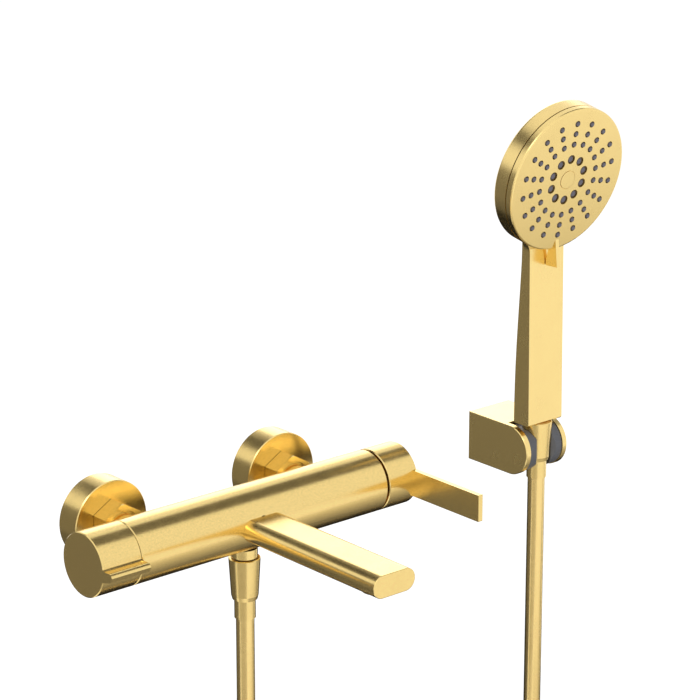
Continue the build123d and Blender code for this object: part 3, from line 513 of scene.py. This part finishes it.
@dataclass
class Studio:
    """Camera, lamps, room, floor and grey cards, none of them part of the object."""

    camera_place: Point = (-1.2038, -1.5822, 0.7348)
    camera_right: Point = (0.7584, -0.6518, 0.0)
    camera_up: Point = (0.1976, 0.2299, 0.9529)
    focal_pixels: float = 3008.1
    sensor_mm: float = 36.0
    camera_reach: float = 30.0
    room_light: float = 0.55
    room_white: float = 1.0
    floor_level: float = -0.62
    floor_radius: float = 9.0
    floor_corners: int = 96
    floor_colour: Colour = (0.86, 0.86, 0.86, 1)
    floor_glow: float = 0.56
    card_colour: Colour = (1.0, 0.96, 0.9, 1)
    lamps: Sequence[Lamp] = (
        Lamp("top_lamp", (1.9, 2.1, 0.95), (0.1, -0.07, 0.0), 1.6, 7.5),
        Lamp("key_lamp", (-1.5, -1.6, 2.0), (0.1, -0.07, 0.0), 1.2, 10.0),
    )
    cards: Sequence[Card] = (
        Card("left_card", (-0.8, 0.95, -0.25), (0.05, -0.07, 0.0), (2.6, 1.4), (0.21, 0.21)),
        Card("right_band_card", (1.28, 0.00, 1.78), (0.1, -0.07, 0.0), (1.3, 1.2), (0.13, 0.13)),
        Card("back_band_card", (0.60, 1.36, 1.54), (0.1, -0.07, 0.0), (0.8, 0.6), (0.20, 0.20)),
        Card("left_band_card", (-0.35, 1.33, 1.63), (0.1, -0.07, 0.0), (1.6, 0.9), (0.08, 0.08)),
        Card("low_card", (0.6, -0.45, -0.59), (0.6, -0.45, 1.0), (1.3, 1.1), (0.95, 0.015)),
        Card("low_back_card", (0.8, 0.95, -0.59), (0.8, 0.95, 1.0), (1.7, 1.7), (0.015, 0.015)),
        Card("rear_low_card", (0.0, 0.85, -0.605), (0.0, 0.85, 1.0), (2.2, 1.2), (0.14, 0.14)),
        Card("face_card", (1.35, -0.60, -0.585), (1.35, -0.60, 1.0), (0.6, 0.5), (0.60, 0.30)),
        Card("front_card", (-1.2, -0.75, -0.60), (-1.2, -0.75, 1.0), (1.6, 1.6), (0.52, 0.52)),
    )

    def camera(self) -> None:
        """Set up the camera where the photograph was taken from."""
        lens = bpy.data.cameras.new("photo_camera")
        lens.sensor_width = self.sensor_mm
        lens.lens = self.focal_pixels / IMAGE_PIXELS * self.sensor_mm
        lens.clip_end = self.camera_reach
        rig = bpy.data.objects.new("photo_camera", lens)
        bpy.context.scene.collection.objects.link(rig)
        right, up = Vector(self.camera_right).normalized(), Vector(self.camera_up).normalized()
        back = right.cross(up)
        turn = Matrix((right, up, back)).transposed().to_4x4()
        rig.matrix_world = Matrix.Translation(self.camera_place) @ turn
        bpy.context.scene.camera = rig

    def lights(self) -> None:
        """Hang the soft lamps, each turned towards the object."""
        for lamp in self.lamps:
            light = bpy.data.lights.new(lamp.name, "AREA")
            light.shape = "DISK"
            light.size = lamp.size
            light.energy = lamp.power
            rig = bpy.data.objects.new(lamp.name, light)
            bpy.context.scene.collection.objects.link(rig)
            rig.location = lamp.place
            facing = Vector(lamp.aim) - Vector(lamp.place)
            rig.rotation_euler = facing.to_track_quat("-Z", "Y").to_euler()

    def seen_white(self, desk: NodeDesk) -> bpy.types.NodeSocket:
        """Make the mask of the rays that see plain white: camera, mirror and glass rays.

        Args:
            desk: The tree that the mask is for.

        Returns:
            A value of one on those rays.
        """
        ray = desk.add("ShaderNodeLightPath")
        first = desk.add("ShaderNodeMath", operation="MAXIMUM")
        both = desk.add("ShaderNodeMath", operation="MAXIMUM")
        desk.wire(ray.outputs["Is Camera Ray"], first.inputs[0])
        desk.wire(ray.outputs["Is Glossy Ray"], first.inputs[1])
        desk.wire(first.outputs["Value"], both.inputs[0])
        desk.wire(ray.outputs["Is Transmission Ray"], both.inputs[1])
        return both.outputs["Value"]

    def world(self) -> None:
        """Light the room softly, and show it white to the camera and in reflections."""
        room = bpy.data.worlds.new("white_room")
        bpy.context.scene.world = room
        room.use_nodes = True
        room.node_tree.nodes.clear()
        desk = NodeDesk(room.node_tree)
        seen = self.seen_white(desk)
        soft = desk.add("ShaderNodeBackground")
        soft.inputs["Color"].default_value = PLAIN_WHITE
        soft.inputs["Strength"].default_value = self.room_light
        white = desk.add("ShaderNodeBackground")
        white.inputs["Color"].default_value = PLAIN_WHITE
        white.inputs["Strength"].default_value = self.room_white
        choose = desk.add("ShaderNodeMixShader")
        out = desk.add("ShaderNodeOutputWorld")
        desk.wire(seen, choose.inputs["Fac"])
        desk.wire(soft.outputs["Background"], choose.inputs[1])
        desk.wire(white.outputs["Background"], choose.inputs[2])
        desk.wire(choose.outputs["Shader"], out.inputs["Surface"])

    def ground(self) -> None:
        """Lay the pale floor under the hose's loop; its glow shows on the seen-white rays."""
        bpy.ops.object.select_all(action="DESELECT")
        bpy.ops.mesh.primitive_circle_add(
            vertices=self.floor_corners, radius=self.floor_radius, fill_type="NGON",
            location=(0, 0, self.floor_level),
        )
        floor = bpy.context.active_object
        floor.name = "floor"
        paper = bpy.data.materials.new("white_paper")
        paper.use_nodes = True
        paper.node_tree.nodes.clear()
        desk = NodeDesk(paper.node_tree)
        chalk = desk.add("ShaderNodeBsdfDiffuse")
        chalk.inputs["Color"].default_value = self.floor_colour
        glow = desk.add("ShaderNodeEmission")
        seen = self.seen_white(desk)
        level = desk.add("ShaderNodeMath", operation="MULTIPLY")
        level.inputs[1].default_value = self.floor_glow
        total = desk.add("ShaderNodeAddShader")
        out = desk.add("ShaderNodeOutputMaterial")
        desk.wire(seen, level.inputs[0])
        desk.wire(level.outputs["Value"], glow.inputs["Strength"])
        desk.wire(chalk.outputs["BSDF"], total.inputs[0])
        desk.wire(glow.outputs["Emission"], total.inputs[1])
        desk.wire(total.outputs["Shader"], out.inputs["Surface"])
        floor.data.materials.append(paper)

    def felt(self, card: Card) -> bpy.types.Material:
        """Make a card's covering, one grey all over or fading from front to back.

        Args:
            card: The card that it covers.

        Returns:
            The covering as a node material.
        """
        front, back = card.greys
        cover = bpy.data.materials.new(card.name)
        cover.use_nodes = True
        cover.node_tree.nodes.clear()
        desk = NodeDesk(cover.node_tree)
        glow = desk.add("ShaderNodeEmission")
        glow.inputs["Color"].default_value = self.card_colour
        glow.inputs["Strength"].default_value = front
        out = desk.add("ShaderNodeOutputMaterial")
        desk.wire(glow.outputs["Emission"], out.inputs["Surface"])
        if front != back:
            spot = desk.add("ShaderNodeTexCoord")
            parts = desk.add("ShaderNodeSeparateXYZ")
            fade = desk.add("ShaderNodeMapRange")
            fade.inputs["From Min"].default_value = card.place[1] - card.size[1] / 2
            fade.inputs["From Max"].default_value = card.place[1] + card.size[1] / 2
            fade.inputs["To Min"].default_value = front
            fade.inputs["To Max"].default_value = back
            desk.wire(spot.outputs["Object"], parts.inputs["Vector"])
            desk.wire(parts.outputs["Y"], fade.inputs["Value"])
            desk.wire(fade.outputs["Result"], glow.inputs["Strength"])
        return cover

    def stand(self, card: Card) -> None:
        """Stand a card where the metal should reflect something darker than the room.

        Args:
            card: The card to stand there.
        """
        bpy.ops.object.select_all(action="DESELECT")
        bpy.ops.mesh.primitive_plane_add(size=1.0)
        sheet = bpy.context.active_object
        sheet.name = card.name
        facing = Vector(card.aim) - Vector(card.place)
        turn = facing.to_track_quat("Z", "Y").to_matrix().to_4x4()
        stretch = Matrix.Diagonal((*card.size, 1, 1))
        sheet.data.transform(Matrix.Translation(card.place) @ turn @ stretch)
        sheet.data.materials.append(self.felt(card))
        sheet.visible_camera = False
        sheet.visible_shadow = False
        sheet.visible_diffuse = False

    def build(self) -> None:
        """Set up the whole studio."""
        self.camera()
        self.lights()
        self.world()
        self.ground()
        for card in self.cards:
            self.stand(card)
        view = bpy.context.scene.view_settings
        view.view_transform = "Standard"
        log.info("studio set up")


def main() -> None:
    """Load the frame, build and dress every sub-assembly, and set up the studio."""
    logging.basicConfig(level=logging.INFO)
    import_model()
    ShowerHose().build()
    MixerBody().finish()
    Bracket().finish()
    HandShower().finish()
    Studio().build()


if __name__ == "__main__":
    main()
